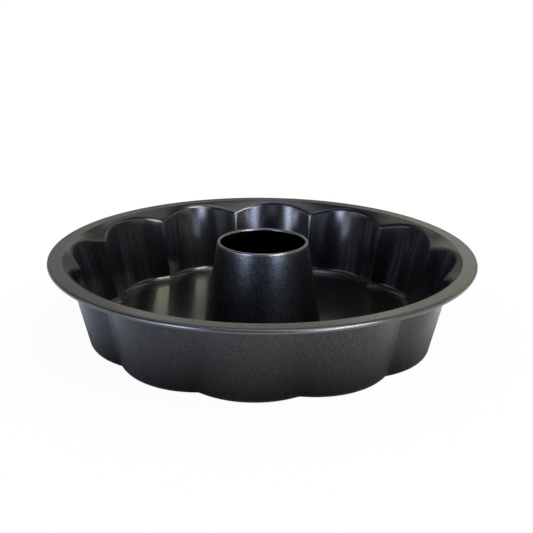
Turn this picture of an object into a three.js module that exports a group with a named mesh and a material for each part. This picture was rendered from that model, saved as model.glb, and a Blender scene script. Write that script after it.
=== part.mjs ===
// Fluted tube pan: a drawn sheet-steel shell with a lobed wall, and a tapered tube locked into its floor.
// Millimetres, +Z up; the floor's underside lies on z = 0 and the tube stands on the Z axis.
import * as THREE from "three";

const degrees = THREE.MathUtils.degToRad;

// Both pieces
const sheet = 0.6; // thickness of the coated steel

// Lobed wall of the shell, measured on the inside face
const lobeCount = 12;
const floorPeakRadius = 116.6; // middle of a lobe, where the wall line meets z = 0
const wallFlare = 11.8; // how much farther out the middle of a lobe is at the flange's level
const floorLobeDepth = 5.4; // from the middle of a lobe to the ridge beside it, at z = 0
const rimLobeDepth = 8.6; // the same at the flange's level
const ridgeBend = 2.2; // radius of the ridge between two lobes
const footBend = 5.5; // radius between the floor and the wall

// Rim of the shell
const rimHeight = 55; // top of the flange above z = 0
const lobeEdgeBend = 5; // radius where the wall turns over into the shoulder
const shoulderSlope = degrees(34); // slope of the shoulder that closes the lobes at the top
const shoulderWidth = 2.3; // from the middle of a lobe to the crease between shoulder and flange
const creaseBend = 2; // radius of that crease
const flangeWidth = 9.3; // from the crease to the outermost point of the rolled edge
const curlInside = 1; // inside radius of the rolled edge
const curlTurn = degrees(225); // how far round the edge is rolled

// Centre tube, measured on the outside face
const tubeFootRadius = 40.2; // where the tube's side meets the floor
const tubeTopRadius = 30.7; // under the rolled top edge
const tubeHeight = 59.5; // top of the rolled edge above z = 0
const beadInside = 0.65; // inside radius of the rolled top edge
const tubeHem = 4; // length of the sheet turned down inside the top
const footInside = 0.4; // inside radius where the side turns in to the foot ring

// Lock seam: the tube's foot ring lies on the floor, and the edge of the floor folds back over it
const seamGap = 0.1; // clearance between the layers
const footRingWidth = 5; // from the corner of the tube's side to the ring's inner edge
const foldBackset = 0.6; // from the ring's inner edge to the middle of the fold
const lipClearance = 1; // from the end of the lip to where the foot ring bends up

// Facets
const columnsPerLobe = 8;
const tubeColumns = 48;

// Sizes that follow from those above
const rimPeakRadius = floorPeakRadius + wallFlare;
const creaseRadius = rimPeakRadius + shoulderWidth;
const curlOutside = curlInside + sheet;
const beadOutside = beadInside + sheet;
const footOutside = footInside + sheet;
const foldInside = sheet / 2 + seamGap;
const ringHeight = sheet + seamGap;
const tubeSlope = Math.atan2(tubeHeight - beadOutside - ringHeight, tubeTopRadius - tubeFootRadius);
const footCut = footOutside * Math.tan(tubeSlope / 2);
const foldRadius = tubeFootRadius - footRingWidth - foldBackset;
const lipRadius = tubeFootRadius - footCut - lipClearance;

// A path across the sheet in the plane of one angle, as rows of radius, height and heading.
// The pen starts at a point and draws lines and arcs; a turn is positive to the left.
class Pen {
  constructor(radius, height, heading) {
    this.at = new THREE.Vector2(radius, height);
    this.heading = heading;
    this.rows = [];
    this.mark();
  }

  mark() {
    this.rows.push({ radius: this.at.x, height: this.at.y, heading: this.heading });
  }

  line(length, steps = 1) {
    for (let i = 0; i < steps; i += 1) {
      this.at.x += (Math.cos(this.heading) * length) / steps;
      this.at.y += (Math.sin(this.heading) * length) / steps;
      this.mark();
    }
  }

  arc(bend, turn, steps) {
    const side = Math.sign(turn) * bend;
    const start = this.heading;
    const centre = this.at.clone();
    centre.x -= side * Math.sin(start);
    centre.y += side * Math.cos(start);
    for (let i = 1; i <= steps; i += 1) {
      this.heading = start + (turn * i) / steps;
      this.at.x = centre.x + side * Math.sin(this.heading);
      this.at.y = centre.y - side * Math.cos(this.heading);
      this.mark();
    }
  }
}

// Radius of the lobed outline at an angle: the larger of two neighbouring arcs, rounded where they cross.
// Each arc runs through its lobe's peak and the ridges on both sides.
function lobedRadius(angle, peak, depth) {
  const half = Math.PI / lobeCount;
  const ridge = peak - depth;
  const centre = (peak ** 2 - ridge ** 2) / (2 * (peak - ridge * Math.cos(half)));
  const arc = (turn) => {
    const reach = (peak - centre) ** 2 - (centre * Math.sin(turn)) ** 2;
    return centre * Math.cos(turn) + Math.sqrt(Math.max(reach, 0));
  };
  const own = angle - 2 * half * Math.round(angle / (2 * half));
  const next = own - 2 * half * (own < 0 ? -1 : 1);
  const kink = Math.atan2(ridge * Math.sin(half), ridge * Math.cos(half) - centre) - half;
  const softness = 2 * ridgeBend * Math.tan(kink) ** 2;
  return (arc(own) + arc(next) + Math.hypot(arc(own) - arc(next), softness)) / 2;
}

// The shell's upper face at one angle, from the lip over the seam to the end of the rolled edge.
function shellPath(angle) {
  const floorRadius = lobedRadius(angle, floorPeakRadius, floorLobeDepth);
  const rimWallRadius = lobedRadius(angle, rimPeakRadius, rimLobeDepth);
  const wallSlope = Math.atan2(rimHeight, rimWallRadius - floorRadius);
  const lean = 1 / Math.tan(wallSlope);

  // Where the wall's line meets the floor and the shoulder, and what each bend takes off the lines
  const wallFoot = floorRadius + sheet * lean;
  const wallCut = footBend * Math.tan(wallSlope / 2);
  const rise = Math.tan(shoulderSlope);
  const edgeHeight = (rimHeight - (creaseRadius - floorRadius) * rise) / (1 - rise * lean);
  const edgeRadius = floorRadius + edgeHeight * lean;
  const creaseCut = creaseBend * Math.tan(shoulderSlope / 2);
  const shoulderRoom = (creaseRadius - edgeRadius) / Math.cos(shoulderSlope) - creaseCut;
  const halfTurn = Math.tan((wallSlope - shoulderSlope) / 2);
  const edgeBend = Math.min(lobeEdgeBend, shoulderRoom / halfTurn);
  const edgeCut = edgeBend * halfTurn;
  const wallLength = (edgeHeight - sheet) / Math.sin(wallSlope) - wallCut - edgeCut;

  const pen = new Pen(lipRadius, sheet + 2 * foldInside, Math.PI);
  pen.line(lipRadius - foldRadius);
  pen.arc(foldInside, Math.PI, 3);
  pen.line(wallFoot - wallCut - foldRadius);
  pen.arc(footBend, wallSlope, 3);
  pen.line(wallLength, 2);
  pen.arc(edgeBend, shoulderSlope - wallSlope, 3);
  pen.line(shoulderRoom - edgeCut);
  pen.arc(creaseBend, -shoulderSlope, 2);
  pen.line(flangeWidth - creaseCut - curlOutside);
  pen.arc(curlOutside, -curlTurn, 5);
  return pen.rows;
}

// The tube's outer face, from the inner edge of the foot ring to the end of the hem inside its top.
function tubePath() {
  const sideTop = tubeHeight - beadOutside - beadOutside * Math.cos(tubeSlope);
  const pen = new Pen(tubeFootRadius - footRingWidth, ringHeight, 0);
  pen.line(footRingWidth - footCut);
  pen.arc(footOutside, tubeSlope, 3);
  pen.line((sideTop - ringHeight) / Math.sin(tubeSlope) - footCut);
  pen.arc(beadOutside, Math.PI, 5);
  pen.line(tubeHem);
  return pen.rows;
}

function place(row, angle) {
  return new THREE.Vector3(row.radius * Math.cos(angle), row.radius * Math.sin(angle), row.height);
}

// A closed ring of sheet: the path is drawn at every angle, and the sheet's other face lies to the left
// or to the right of the path's heading, square to the surface.
function sheetRing(path, angles, left) {
  const nudge = 1e-4;
  const columns = angles.map((angle) => {
    const here = path(angle);
    const before = path(angle - nudge);
    const after = path(angle + nudge);
    const face = here.map((row) => place(row, angle));
    const other = here.map((row, i) => {
      const along = new THREE.Vector3(
        Math.cos(row.heading) * Math.cos(angle),
        Math.cos(row.heading) * Math.sin(angle),
        Math.sin(row.heading),
      );
      const around = place(after[i], angle + nudge).sub(place(before[i], angle - nudge));
      const square = along.cross(around).normalize();
      return face[i].clone().addScaledVector(square, left ? sheet : -sheet);
    });
    return face.concat(other.reverse());
  });

  const rowCount = columns[0].length;
  const index = [];
  columns.forEach((_, j) => {
    const a = j * rowCount;
    const b = ((j + 1) % columns.length) * rowCount;
    for (let i = 0; i < rowCount; i += 1) {
      const k = (i + 1) % rowCount;
      const quad = [a + i, a + k, b + k, a + i, b + k, b + i];
      index.push(...(left ? quad.reverse() : quad));
    }
  });
  const points = columns.flat().flatMap((point) => point.toArray());
  const geometry = new THREE.BufferGeometry();
  geometry.setAttribute("position", new THREE.Float32BufferAttribute(points, 3));
  geometry.setIndex(index);
  geometry.computeVertexNormals();
  return geometry;
}

// Angles of the shell's columns: closer together at the ridges, where the outline turns fastest.
function shellAngles() {
  const half = Math.PI / lobeCount;
  const angles = [];
  for (let lobe = 0; lobe < lobeCount; lobe += 1) {
    for (let i = 0; i < columnsPerLobe; i += 1) {
      const share = (2 * i) / columnsPerLobe - 1;
      angles.push(half * (2 * lobe + 1.5 * share - 0.5 * share ** 3));
    }
  }
  return angles;
}

function tubeAngles() {
  return Array.from({ length: tubeColumns }, (_, i) => (2 * Math.PI * i) / tubeColumns);
}

// Dark non-stick coating with a slight metallic sheen
function coating() {
  return new THREE.MeshStandardMaterial({ color: 0x3a3b3d, metalness: 0.4, roughness: 0.35 });
}

const pan = new THREE.Group();
pan.name = "fluted_tube_pan";

const shell = new THREE.Mesh(sheetRing(shellPath, shellAngles(), false), coating());
shell.name = "pan_shell";
pan.add(shell);

const tube = new THREE.Mesh(sheetRing(tubePath, tubeAngles(), true), coating());
tube.name = "centre_tube";
pan.add(tube);

export default pan;
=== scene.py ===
# %% [markdown]
# # A fluted tube pan
# The pan is two pressed sheets of coated steel: a round shell whose wall is pressed into twelve lobes, and
# a tapered tube that is locked into the middle of its floor. The imported model holds both as solids with flat
# facets. It is loaded first. Nothing made here may grow out of it.

# %% Load the frame
import math

import bmesh
import bpy
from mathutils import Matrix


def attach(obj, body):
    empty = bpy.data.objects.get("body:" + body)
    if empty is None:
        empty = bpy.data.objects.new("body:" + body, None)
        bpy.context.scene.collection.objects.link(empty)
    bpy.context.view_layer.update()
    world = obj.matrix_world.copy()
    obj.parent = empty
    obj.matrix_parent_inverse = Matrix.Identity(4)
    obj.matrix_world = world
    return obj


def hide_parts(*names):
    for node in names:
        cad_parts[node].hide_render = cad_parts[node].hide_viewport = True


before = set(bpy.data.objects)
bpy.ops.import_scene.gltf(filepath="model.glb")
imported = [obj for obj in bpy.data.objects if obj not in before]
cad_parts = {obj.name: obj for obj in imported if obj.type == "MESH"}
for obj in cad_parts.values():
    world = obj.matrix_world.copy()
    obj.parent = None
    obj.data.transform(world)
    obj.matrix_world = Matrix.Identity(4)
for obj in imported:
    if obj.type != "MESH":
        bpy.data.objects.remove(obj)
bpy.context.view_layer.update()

# %% [markdown]
# ## The camera
# The photograph looks down on the pan from about 23 degrees, from close by. Its place, turn and lens were
# worked out from the two ellipses of the rim and the tube, which fix all of them together. The Standard view
# shows the colours as they are, so the white paper stays white.

# %% Camera
camera = bpy.data.objects.new("camera", bpy.data.cameras.new("camera"))
camera.location = (0.03310, -0.48821, 0.20779)
camera.rotation_euler = [math.radians(turn) for turn in (71.1755, -0.5092, 3.7423)]
camera.data.lens = 51.57
bpy.context.collection.objects.link(camera)
bpy.context.scene.camera = camera
bpy.context.scene.view_settings.view_transform = "Standard"
print("camera", round(camera.location.length, 3), "m from the middle of the floor")

# %% [markdown]
# ## The line across the sheet
# A pressed sheet is easiest to describe by the line that a cut through it shows: straight runs and round
# bends, one after the other. The pen below walks along such a line in one upright plane. It keeps its
# heading, so a bend always starts in the direction in which the last run ended.

# %% A pen that draws runs and bends
mm = 0.001
sheet = 0.6 * mm


class Pen:
    """Walks along a line and keeps its points, each a radius and a height."""

    def __init__(self, radius, height, heading):
        self.radius, self.height, self.heading = radius, height, heading
        self.points = [(radius, height)]

    def run(self, length, steps):
        for _ in range(steps):
            self.radius += math.cos(self.heading) * length / steps
            self.height += math.sin(self.heading) * length / steps
            self.points.append((self.radius, self.height))

    def bend(self, size, turn, steps):
        side = math.copysign(size, turn)
        middle_radius = self.radius - side * math.sin(self.heading)
        middle_height = self.height + side * math.cos(self.heading)
        for _ in range(steps):
            self.heading += turn / steps
            self.radius = middle_radius + side * math.sin(self.heading)
            self.height = middle_height - side * math.cos(self.heading)
            self.points.append((self.radius, self.height))


# %% [markdown]
# ## The lobed outline
# Seen from above, the wall is a chain of twelve round arcs that bulge outwards and meet in ridges. Each arc
# runs through the middle of its lobe and the ridges on both sides of it. The ridge itself is a bend, narrow
# at the foot of the wall and wider at its top, so the sharp meeting of two arcs is rounded off by blending
# them where they are about equally far out.

# %% Radius of the outline at an angle
lobe_count = 12
half_lobe = math.pi / lobe_count
foot_ridge, top_ridge = 2.2 * mm, 4.5 * mm


def outline(angle, peak, depth, ridge_bend):
    ridge = peak - depth
    centre = (peak**2 - ridge**2) / (2 * (peak - ridge * math.cos(half_lobe)))

    def arc(turn):
        reach = (peak - centre) ** 2 - (centre * math.sin(turn)) ** 2
        return centre * math.cos(turn) + math.sqrt(max(reach, 0))

    own = angle - 2 * half_lobe * round(angle / (2 * half_lobe))
    beside = own - math.copysign(2 * half_lobe, own)
    kink = math.atan2(ridge * math.sin(half_lobe), ridge * math.cos(half_lobe) - centre) - half_lobe
    # With this softness the tip of the blended ridge has the radius of the bend.
    softness = 2 * ridge_bend * math.tan(kink) ** 2
    return (arc(own) + arc(beside) + math.hypot(arc(own) - arc(beside), softness)) / 2


# %% [markdown]
# ## The line across the shell
# From the middle outwards the shell's sheet is a lip that is folded back over the foot of the tube, the
# flat floor, the bend up into the wall, the wall, the bend over into a sloping shoulder, the flat flange and
# its small rolled edge. The shoulder is a plain cone, and the lobes are cut into it as arches: at a ridge
# the wall turns over early, in the middle of a lobe only just below the flange.

# %% Line across the shell at an angle
floor_peak, floor_depth = 116.6 * mm, 5.4 * mm
rim_peak, rim_depth = 128.4 * mm, 8.6 * mm
rim_height = 55 * mm
shoulder_slope = math.radians(34)
crease_radius, crease_bend = 130.7 * mm, 2 * mm
foot_bend, edge_bend = 5.5 * mm, 5 * mm
rim_radius, curl_bend, curl_turn = 140 * mm, 1.6 * mm, math.radians(225)
fold_bend, fold_radius, lip_radius = 0.4 * mm, 34.6 * mm, 38.02 * mm


def shell_line(angle):
    foot = outline(angle, floor_peak, floor_depth, foot_ridge)
    top = outline(angle, rim_peak, rim_depth, top_ridge)
    wall_slope = math.atan2(rim_height, top - foot)
    lean = 1 / math.tan(wall_slope)
    rise = math.tan(shoulder_slope)
    edge_height = (rim_height - (crease_radius - foot) * rise) / (1 - rise * lean)
    edge_radius = foot + edge_height * lean
    foot_cut = foot_bend * math.tan(wall_slope / 2)
    crease_cut = crease_bend * math.tan(shoulder_slope / 2)
    shoulder = (crease_radius - edge_radius) / math.cos(shoulder_slope) - crease_cut
    corner = math.tan((wall_slope - shoulder_slope) / 2)
    bend = min(edge_bend, shoulder / corner)
    wall = (edge_height - sheet) / math.sin(wall_slope) - foot_cut - bend * corner

    pen = Pen(lip_radius, sheet + 2 * fold_bend, math.pi)
    pen.run(lip_radius - fold_radius, steps=2)
    pen.bend(fold_bend, math.pi, steps=8)
    pen.run(foot + sheet * lean - foot_cut - fold_radius, steps=8)
    pen.bend(foot_bend, wall_slope, steps=8)
    pen.run(wall, steps=10)
    pen.bend(bend, shoulder_slope - wall_slope, steps=8)
    pen.run(shoulder - bend * corner, steps=3)
    pen.bend(crease_bend, -shoulder_slope, steps=6)
    pen.run(rim_radius - crease_radius - crease_cut - curl_bend, steps=4)
    pen.bend(curl_bend, -curl_turn, steps=14)
    return pen.points


print("line across the shell:", len(shell_line(0)), "points")

# %% [markdown]
# ## One lobe of the shell
# No operator draws a lobe whose top edge follows a cone, so the lobe is extruded row by row: a circle is
# added at the lip, all but the columns of one lobe is deleted, and every extruded row is set on the lines
# above. The columns stand closer together at the ridges, where the outline turns fastest.

# %% Extrude one lobe
columns = 32
angle_slack = 1e-4


def angle_of(vertex):
    return math.atan2(vertex.co.y, vertex.co.x)


def start_piece(name):
    piece = bpy.context.object
    piece.name = piece.data.name = name
    bpy.ops.object.transform_apply(location=True, rotation=True, scale=True)
    bpy.ops.object.mode_set(mode="EDIT")
    return piece


bpy.ops.object.select_all(action="DESELECT")
bpy.ops.mesh.primitive_circle_add(
    vertices=lobe_count * columns, radius=lip_radius, location=(0, 0, sheet + 2 * fold_bend)
)
shell = start_piece("coated_shell")
mesh = bmesh.from_edit_mesh(shell.data)
for vertex in mesh.verts:
    vertex.select_set(abs(angle_of(vertex)) > half_lobe + angle_slack)
mesh.select_flush_mode()
bmesh.update_edit_mesh(shell.data)
bpy.ops.mesh.delete(type="VERT")

mesh = bmesh.from_edit_mesh(shell.data)
lines = {}
for vertex in mesh.verts:
    share = angle_of(vertex) / half_lobe
    angle = half_lobe * (1.5 * share - 0.5 * share**3)
    vertex.co.x, vertex.co.y = lip_radius * math.cos(angle), lip_radius * math.sin(angle)
    lines[angle] = shell_line(angle)
bmesh.update_edit_mesh(shell.data)

bpy.ops.mesh.select_all(action="SELECT")
for row in range(1, len(shell_line(0))):
    bpy.ops.mesh.extrude_region_move()
    mesh = bmesh.from_edit_mesh(shell.data)
    for vertex in [v for v in mesh.verts if v.select]:
        found = angle_of(vertex)
        angle = min(lines, key=lambda known: abs(known - found))
        radius, height = lines[angle][row]
        vertex.co = (radius * math.cos(angle), radius * math.sin(angle), height)
    bmesh.update_edit_mesh(shell.data)
print("one lobe:", len(bmesh.from_edit_mesh(shell.data).faces), "faces")

# %% [markdown]
# ## The whole shell
# The lobe repeats twelve times, so it is spun round the axis as copies, and the doubled columns on the
# ridges are merged. Only then does the sheet get its thickness, downwards and outwards, so that the face
# that was drawn stays the inside of the pan.

# %% Copy the lobe round and thicken the sheet
weld_gap = 0.001 * mm
smooth_angle = math.radians(50)


def finish_sheet(piece, flat_height, flat_faces_up):
    bpy.ops.mesh.select_all(action="SELECT")
    bpy.ops.mesh.remove_doubles(threshold=weld_gap)
    bpy.ops.mesh.normals_make_consistent(inside=False)
    mesh = bmesh.from_edit_mesh(piece.data)
    flat = min(mesh.faces, key=lambda face: abs(face.calc_center_median().z - flat_height))
    if (flat.normal.z > 0) != flat_faces_up:
        bpy.ops.mesh.flip_normals()
    bpy.ops.object.mode_set(mode="OBJECT")
    wall = piece.modifiers.new("thickness", "SOLIDIFY")
    wall.thickness, wall.offset = sheet, -1
    wall.use_even_offset = wall.use_quality_normals = True
    bpy.ops.object.modifier_apply(modifier=wall.name)
    bpy.ops.object.shade_smooth_by_angle(angle=smooth_angle)
    print(piece.name, sum(len(face.vertices) - 2 for face in piece.data.polygons), "triangles")


bpy.ops.mesh.select_all(action="SELECT")
bpy.ops.mesh.spin(
    steps=lobe_count - 1,
    dupli=True,
    angle=2 * math.pi - 2 * half_lobe,
    center=(0, 0, 0),
    axis=(0, 0, 1),
)
finish_sheet(shell, flat_height=sheet, flat_faces_up=True)

# %% [markdown]
# ## The tube
# The tube is round, so its rings need no formula of their own: a circle is added at the inner edge of its
# foot ring, and each step of its line is one extrusion that is moved up and scaled about the axis. Its
# top edge is rolled inwards and turned down as a hem.

# %% Extrude the tube
tube_foot, tube_top = 40.2 * mm, 30.7 * mm
tube_height = 59.5 * mm
bead_bend, tube_foot_bend, hem = 1.25 * mm, 1 * mm, 4 * mm
ring_height, ring_width = 0.7 * mm, 5 * mm
tube_columns = 192

tube_slope = math.atan2(tube_height - bead_bend - ring_height, tube_top - tube_foot)
tube_foot_cut = tube_foot_bend * math.tan(tube_slope / 2)
side_top = tube_height - bead_bend - bead_bend * math.cos(tube_slope)
pen = Pen(tube_foot - ring_width, ring_height, 0)
pen.run(ring_width - tube_foot_cut, steps=2)
pen.bend(tube_foot_bend, tube_slope, steps=8)
pen.run((side_top - ring_height) / math.sin(tube_slope) - tube_foot_cut, steps=10)
pen.bend(bead_bend, math.pi, steps=14)
pen.run(hem, steps=2)

bpy.ops.object.select_all(action="DESELECT")
bpy.ops.mesh.primitive_circle_add(
    vertices=tube_columns, radius=tube_foot - ring_width, location=(0, 0, ring_height)
)
tube = start_piece("coated_tube")
bpy.ops.mesh.select_all(action="SELECT")
for (radius, height), (next_radius, next_height) in zip(pen.points, pen.points[1:]):
    bpy.ops.mesh.extrude_region_move()
    bpy.ops.transform.translate(value=(0, 0, next_height - height))
    scale = next_radius / radius
    bpy.ops.transform.resize(value=(scale, scale, 1), center_override=(0, 0, 0))
finish_sheet(tube, flat_height=ring_height, flat_faces_up=False)

# %% [markdown]
# ## The coating
# Both sheets wear a dark non-stick coating: a clear film with fine metal flakes in it. Such a coating has
# almost no colour of its own. The film mirrors the studio softly, and the flakes below it scatter a duller,
# bluish shine that looks grainy from close by. One dark grey with some gloss would look like plastic, so the
# shader copies the layers: its metallic base is the flakes, and the coat above it is the film.
#
# The maths of a shader is easier to read as an expression than as a list of nodes and links. The small class
# below wraps the output of a node, so that adding or multiplying two outputs adds the Math node for it.

# %% Nodes as expressions


class Wire:
    """One output of a node. Arithmetic on it adds Math nodes."""

    def __init__(self, tree, socket=None):
        self.tree, self.socket = tree, socket

    def node(self, kind, settings=None, sockets=None, out=0):
        made = self.tree.nodes.new(kind)
        for name, value in (settings or {}).items():
            setattr(made, name, value)
        for name, value in (sockets or {}).items():
            feed(next(s for s in made.inputs if name in (s.identifier, s.name)), value)
        found = (s for i, s in enumerate(made.outputs) if out in (i, s.identifier, s.name))
        return Wire(self.tree, next(found))

    def math(self, operation, first, second):
        return self.node("ShaderNodeMath", {"operation": operation}, {"Value": first, "Value_001": second})

    def ramp(self, low, high):
        smooth = {"interpolation_type": "SMOOTHSTEP"}
        return self.node("ShaderNodeMapRange", smooth, {"Value": self, "From Min": low, "From Max": high})

    def __add__(self, other):
        return self.math("ADD", self, other)

    def __sub__(self, other):
        return self.math("SUBTRACT", self, other)

    def __rsub__(self, other):
        return self.math("SUBTRACT", other, self)

    def __mul__(self, other):
        return self.math("MULTIPLY", self, other)


def feed(socket, value):
    if isinstance(value, Wire):
        value.tree.links.new(value.socket, socket)
    else:
        socket.default_value = value


def blend(share, first, second):
    sockets = {"Factor_Float": share, "A_Color": first, "B_Color": second}
    return share.node("ShaderNodeMix", {"data_type": "RGBA"}, sockets, out="Result_Color")


# %% [markdown]
# ## Rubbed places and painted dark
# A coating is thinnest on sharp bends, and there it is rubbed first: along the rolled edge of the rim, on the
# bead of the tube and, faintly, on the crests of the ridges, a little steel shines through. Inside the tube
# the coating is painted nearly black with little film, as painted shade in the deep bore, and the underside
# of the shell is painted darker, with less film. These places could be painted on an unfolded map of the
# sheet. But each of them follows from how far out and how high a point lies, so a mask worked out from the
# point's own place is enough.

# %% Masks for the shell and the tube


def reach_and_height(place):
    x, y, z = (place.node("ShaderNodeSeparateXYZ", sockets={"Vector": place}, out=axis) for axis in "XYZ")
    return x.math("SQRT", x * x + y * y, 0), z


curl_from, curl_to = rim_radius - 1.5 * mm, rim_radius - 0.4 * mm
crest_edge, crest_core = 0.45 * mm, 0.1 * mm
crest_from, crest_to = 25 * mm, 47 * mm
under_from, under_to = 0.35 * mm, 0.1 * mm
# The underside's number says how strongly the bottom is painted darker, with less film.
curl_wear, crest_wear, underside_darkening = 0.45, 0.3, 0.4


def shell_masks(place):
    reach, height = reach_and_height(place)
    curl = reach.ramp(curl_from, curl_to)
    crest_foot = outline(half_lobe, floor_peak, floor_depth, foot_ridge)
    crest_top = outline(half_lobe, rim_peak, rim_depth, top_ridge)
    crest_line = height * ((crest_top - crest_foot) / rim_height) + crest_foot
    crest = (reach - crest_line).ramp(crest_edge, crest_core) * height.ramp(crest_from, crest_to)
    # The underside of the shell is painted darker and loses film.
    underside = height.ramp(under_from, under_to)
    return curl * curl_wear + crest * crest_wear, underside * underside_darkening


bead_from, bead_to = tube_height - 1.7 * mm, tube_height - 0.8 * mm
# Painted shade: over this span the inner face of the tube, the deep bore, is painted nearly black.
bore_shade_from, bore_shade_to = -0.2 * mm, -0.5 * mm


def tube_masks(place):
    reach, height = reach_and_height(place)
    bead = height.ramp(bead_from, bead_to)
    side_line = height * ((tube_top - tube_foot) / tube_height) + tube_foot
    inside = (reach - side_line).ramp(bore_shade_from, bore_shade_to) * (1 - bead)
    return bead, inside


# %% [markdown]
# ## One coating, two mixes
# Fine noise stands for the flakes: it makes them lighter and darker, tips them a little and lets the film
# come and go, which gives the grain. A second, broad noise keeps the sheen from being even all over. Noise
# lies round a half, so it is spread out about the mean that each property should have. The shell's film is
# smooth, with faint flakes. The tube shows the flakes more and its film less, so its highlights are broad
# and grainy.

# %% Coating material
bare_steel = (0.16, 0.16, 0.165, 1)
# Painted shade: the near black that the bore and the darker underside are blended into.
painted_dark_colour = (0.002, 0.002, 0.002, 1)
film_index = 1.6
grain_per_metre, cloud_per_metre = 950, 22
grain_height = 0.25 * mm
flake_contrast, film_contrast, wear_contrast, blur_contrast = 2.4, 1.2, 0.8, 0.08
film_mean = 0.95
film_loss_if_painted_dark, blur_loss_if_worn = 0.85, 0.15


def noise(place, scale, detail):
    return place.node("ShaderNodeTexNoise", sockets={"Vector": place, "Scale": scale, "Detail": detail})


def vary(wire, mean, contrast):
    return wire * contrast + (mean - contrast / 2)


def coating(name, masks, film, film_blur, dark_flake, light_flake, flake_blur, peel):
    material = bpy.data.materials.new(name)
    material.use_nodes = True
    layers = material.node_tree.nodes["Principled BSDF"].inputs
    layers["Metallic"].default_value = 1
    layers["Coat Roughness"].default_value = film_blur
    layers["Coat IOR"].default_value = film_index
    place = Wire(material.node_tree).node("ShaderNodeTexCoord", out="Object")
    grain = noise(place, grain_per_metre, detail=2)
    cloud = noise(place, cloud_per_metre, detail=3)
    rubbed, painted_dark = masks(place)
    worn = rubbed * vary(cloud, mean=1, contrast=wear_contrast)
    flakes = blend(vary(grain, mean=0.5, contrast=flake_contrast), dark_flake, light_flake)
    # The second mask paints shade: there the flakes turn near black and most of the film goes.
    feed(layers["Base Color"], blend(painted_dark, blend(worn, flakes, bare_steel), painted_dark_colour))
    film_left = 1 - painted_dark * film_loss_if_painted_dark
    feed(layers["Coat Weight"], vary(grain, film_mean, film_contrast) * film_left * film)
    feed(layers["Roughness"], vary(cloud, flake_blur, blur_contrast) - worn * blur_loss_if_worn)
    bump = {"Strength": peel, "Distance": grain_height, "Height": grain}
    feed(layers["Normal"], place.node("ShaderNodeBump", sockets=bump))
    print(name, "has", len(material.node_tree.nodes), "nodes")
    return material


# %% Coat the two sheets
shell_coating = coating(
    "shell_coating",
    shell_masks,
    film=1,
    film_blur=0.16,
    dark_flake=(0.002, 0.0022, 0.0025, 1),
    light_flake=(0.012, 0.0127, 0.014, 1),
    flake_blur=0.38,
    peel=0.2,
)
tube_coating = coating(
    "tube_coating",
    tube_masks,
    film=0.5,
    film_blur=0.3,
    dark_flake=(0.006, 0.0067, 0.008, 1),
    light_flake=(0.05, 0.055, 0.065, 1),
    flake_blur=0.36,
    peel=0.35,
)
shell.data.materials.append(shell_coating)
tube.data.materials.append(tube_coating)
for piece, node, slot in ((shell, "pan_shell", "shell_coating"), (tube, "centre_tube", "tube_coating")):
    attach(piece, "root")
    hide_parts(node)
    print(piece.name, "stands for", node)

# %% [markdown]
# ## Floor and background
# The pan stands on white paper. A pale floor in plain light never comes out quite white, and more light would
# fall on the pan too. So the floor is a mix: a matt shader, which takes the light and the pan's soft shadow,
# and a white glow that only rays from the camera or from a mirroring surface meet. What the wall of the pan
# mirrors is the paper close to it, so for mirrored rays the glow has painted light and shade in it: a painted
# shadow that is black close round the pan, and painted light that is dimmer and bluer on the left, away from
# the main light.

# %% White floor
paper_size, paper_drop = 60, 0.2 * mm
white, black = (1, 1, 1, 1), (0, 0, 0, 1)
paper_grey = (0.82, 0.82, 0.82, 1)

bpy.ops.object.select_all(action="DESELECT")
bpy.ops.mesh.primitive_plane_add(size=paper_size, location=(0, 0, -paper_drop))
floor = bpy.context.object
floor.name = "floor"
paper = bpy.data.materials.new("white_paper")
paper.use_nodes = True
paper.cycles.emission_sampling = "NONE"
floor.data.materials.append(paper)
tree = paper.node_tree
matt = tree.nodes["Principled BSDF"]
matt.inputs["Base Color"].default_value = paper_grey
matt.inputs["Roughness"].default_value = 0.9
matt.inputs["Specular IOR Level"].default_value = 0
print("floor at", round(1000 * floor.location.z, 1), "mm")

# %% Glow of the paper
# Painted light for mirrored rays: the paper's glow is dimmer and bluer on the left, away from the main light,
# and full on the right.
left_painted_shade, right_painted_light = (0.62, 0.68, 0.82, 1), (1, 1, 0.98, 1)
left_end, right_end = -150 * mm, 100 * mm
# Painted shadow for mirrored rays: the glow is black close round the pan and fades to the lit paper between
# these two distances.
shade_end, painted_shadow_gone = 105 * mm, 180 * mm
shadow_near, shadow_end = 130 * mm, 220 * mm
shadow_share, mirror_share = 0.05, 0.9


def ray(tree, kind):
    return Wire(tree).node("ShaderNodeLightPath", out=f"Is {kind} Ray")


place = Wire(tree).node("ShaderNodeTexCoord", out="Object")
away = place.node("ShaderNodeVectorMath", {"operation": "LENGTH"}, {"Vector": place}, out="Value")
across = place.node("ShaderNodeSeparateXYZ", sockets={"Vector": place}, out="X")
# Painted light and a painted shadow, for mirrored rays only; camera rays see plain white.
painted_side_light = blend(across.ramp(left_end, right_end), left_painted_shade, right_painted_light)
mirrored = blend(away.ramp(shade_end, painted_shadow_gone), black, painted_side_light)
seen = ray(tree, "Camera") + ray(tree, "Transmission")
glow = seen.node("ShaderNodeEmission", sockets={"Color": blend(seen, mirrored, white), "Strength": 1})
lit_share = away.ramp(shadow_near, shadow_end) * shadow_share + (1 - shadow_share)
glow_share = seen * lit_share + ray(tree, "Glossy") * mirror_share
shaders = {"Fac": glow_share, "Shader": Wire(tree, matt.outputs[0]), "Shader_001": glow}
mixed = glow_share.node("ShaderNodeMixShader", sockets=shaders)
feed(tree.nodes["Material Output"].inputs["Surface"], mixed)
print("the paper's material has", len(tree.nodes), "nodes")

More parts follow.
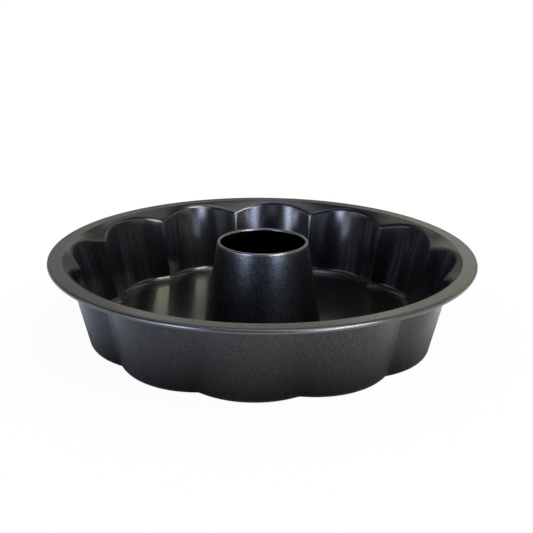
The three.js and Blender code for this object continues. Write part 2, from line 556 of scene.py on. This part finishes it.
# %% [markdown]
# ## Light
# On a dark glossy coating nearly everything that is seen is the studio, so the lamps were read off the
# highlights: every streak is a lamp, mirrored. The bluish streaks on the back lobes and on the tube are a
# soft strip on each side of the camera, with a fainter one above it and a low panel beside it. On the next
# lobes the tube stands in the way of the strips, and only the top of the wall mirrors them. The warm stripes
# on the floor come from a softbox on the right, by way of the wall, and the pale flange mirrors a weak light
# behind the pan. The world only fills in: it is white for the camera and dim for everything else.

# %% World
world_fill = 0.13
world = bpy.data.worlds.new("studio")
world.use_nodes = True
world.cycles.sampling_method = "NONE"
bpy.context.scene.world = world
tree = world.node_tree
seen = ray(tree, "Camera") + ray(tree, "Transmission")
tree.nodes["Background"].inputs["Color"].default_value = white
feed(tree.nodes["Background"].inputs["Strength"], seen + (1 - seen) * world_fill)
print("world fills in with", world_fill)

# %% [markdown]
# ## Softboxes
# A softbox is an area lamp that faces the pan. Its place and size are given as angles seen from the pan,
# because that is what a mirror shows: azimuth (0 is behind the pan, 180 the camera's side, positive to the
# right), elevation, width and height. A bare area lamp has hard sides, and they would cut hard lines into
# the streaks, so its light fades towards both sides. How soft it is says what share of the width the two
# fading sides take up.

# %% Softboxes round the pan
lamp_distance = 1.6


def softbox(name, azimuth, elevation, width, height, glow, soft):
    around, up = math.radians(azimuth), math.radians(elevation)
    lamp = bpy.data.lights.new(name, "AREA")
    lamp.shape = "RECTANGLE"
    lamp.size = 2 * lamp_distance * math.tan(math.radians(width) / 2)
    lamp.size_y = 2 * lamp_distance * math.tan(math.radians(height) / 2)
    level = max(glow)
    lamp.color = [part / level for part in glow]
    lamp.energy = level * math.pi * lamp.size * lamp.size_y
    lamp.use_nodes = True
    tree = lamp.node_tree
    face = Wire(tree).node("ShaderNodeNewGeometry", out="Parametric")
    across = face.node("ShaderNodeSeparateXYZ", sockets={"Vector": face}, out="X")
    inside = 0.5 - face.math("ABSOLUTE", across - 0.5, 0)
    feed(tree.nodes["Emission"].inputs["Strength"], inside.ramp(0, soft / 2))
    box = bpy.data.objects.new(name, lamp)
    box.location = (
        lamp_distance * math.cos(up) * math.sin(around),
        lamp_distance * math.cos(up) * math.cos(around),
        lamp_distance * math.sin(up),
    )
    box.rotation_euler = (math.pi / 2 - up, 0, math.pi - around)
    box.visible_camera = False
    bpy.context.collection.objects.link(box)


# %% The lamps
softbox("key_right", 126, 39, 20, 14, (16, 15.6, 12), 0.1)
softbox("key_high", 120, 54, 36, 14, (2.1, 2.2, 1.8), 0.4)
softbox("high_right", 122, 70, 44, 18, (2.1, 2, 1.8), 0.4)
softbox("high_left", -135, 70, 50, 18, (0.61, 0.69, 1.1), 0.4)
softbox("overhead", 0, 90, 30, 30, (1.5, 1.4, 1.6), 0.4)
softbox("strip_right", 143.5, 9, 25, 17, (7.6, 8.7, 11.6), 1)
softbox("strip_left", -144.5, 9, 25, 17, (8.8, 10.1, 13.5), 1)
softbox("upper_right", 144, 26, 36, 16, (6.4, 7.3, 9.6), 1)
softbox("upper_left", -144, 26, 36, 16, (3.2, 3.7, 4.9), 1)
softbox("low_right", 130, 4.6, 22, 7, (6, 6.9, 9), 1)
softbox("low_left", -130, 4.6, 22, 7, (6, 6.9, 9), 1)
softbox("wall_right", 92, 16, 70, 12, (1.2, 1.2, 1.1), 0.4)
softbox("wall_right_high", 108, 27, 70, 12, (0.3, 0.4, 0.65), 0.4)
softbox("wall_left", -108, 16, 50, 12, (1.6, 1.6, 1.9), 0.4)
softbox("back_left", -42, 24, 56, 18, (0.26, 0.25, 0.23), 0.3)
softbox("back_mid", -4, 25, 30, 14, (0.5, 0.49, 0.44), 0.3)
softbox("back_right", 36, 24, 60, 18, (0.56, 0.54, 0.44), 0.3)
softbox("back_high", 10, 52, 90, 22, (0.74, 0.7, 0.61), 0.4)
softbox("front", 180, 13, 30, 14, (0.56, 0.64, 0.88), 0.6)
print(len(bpy.data.lights), "softboxes")
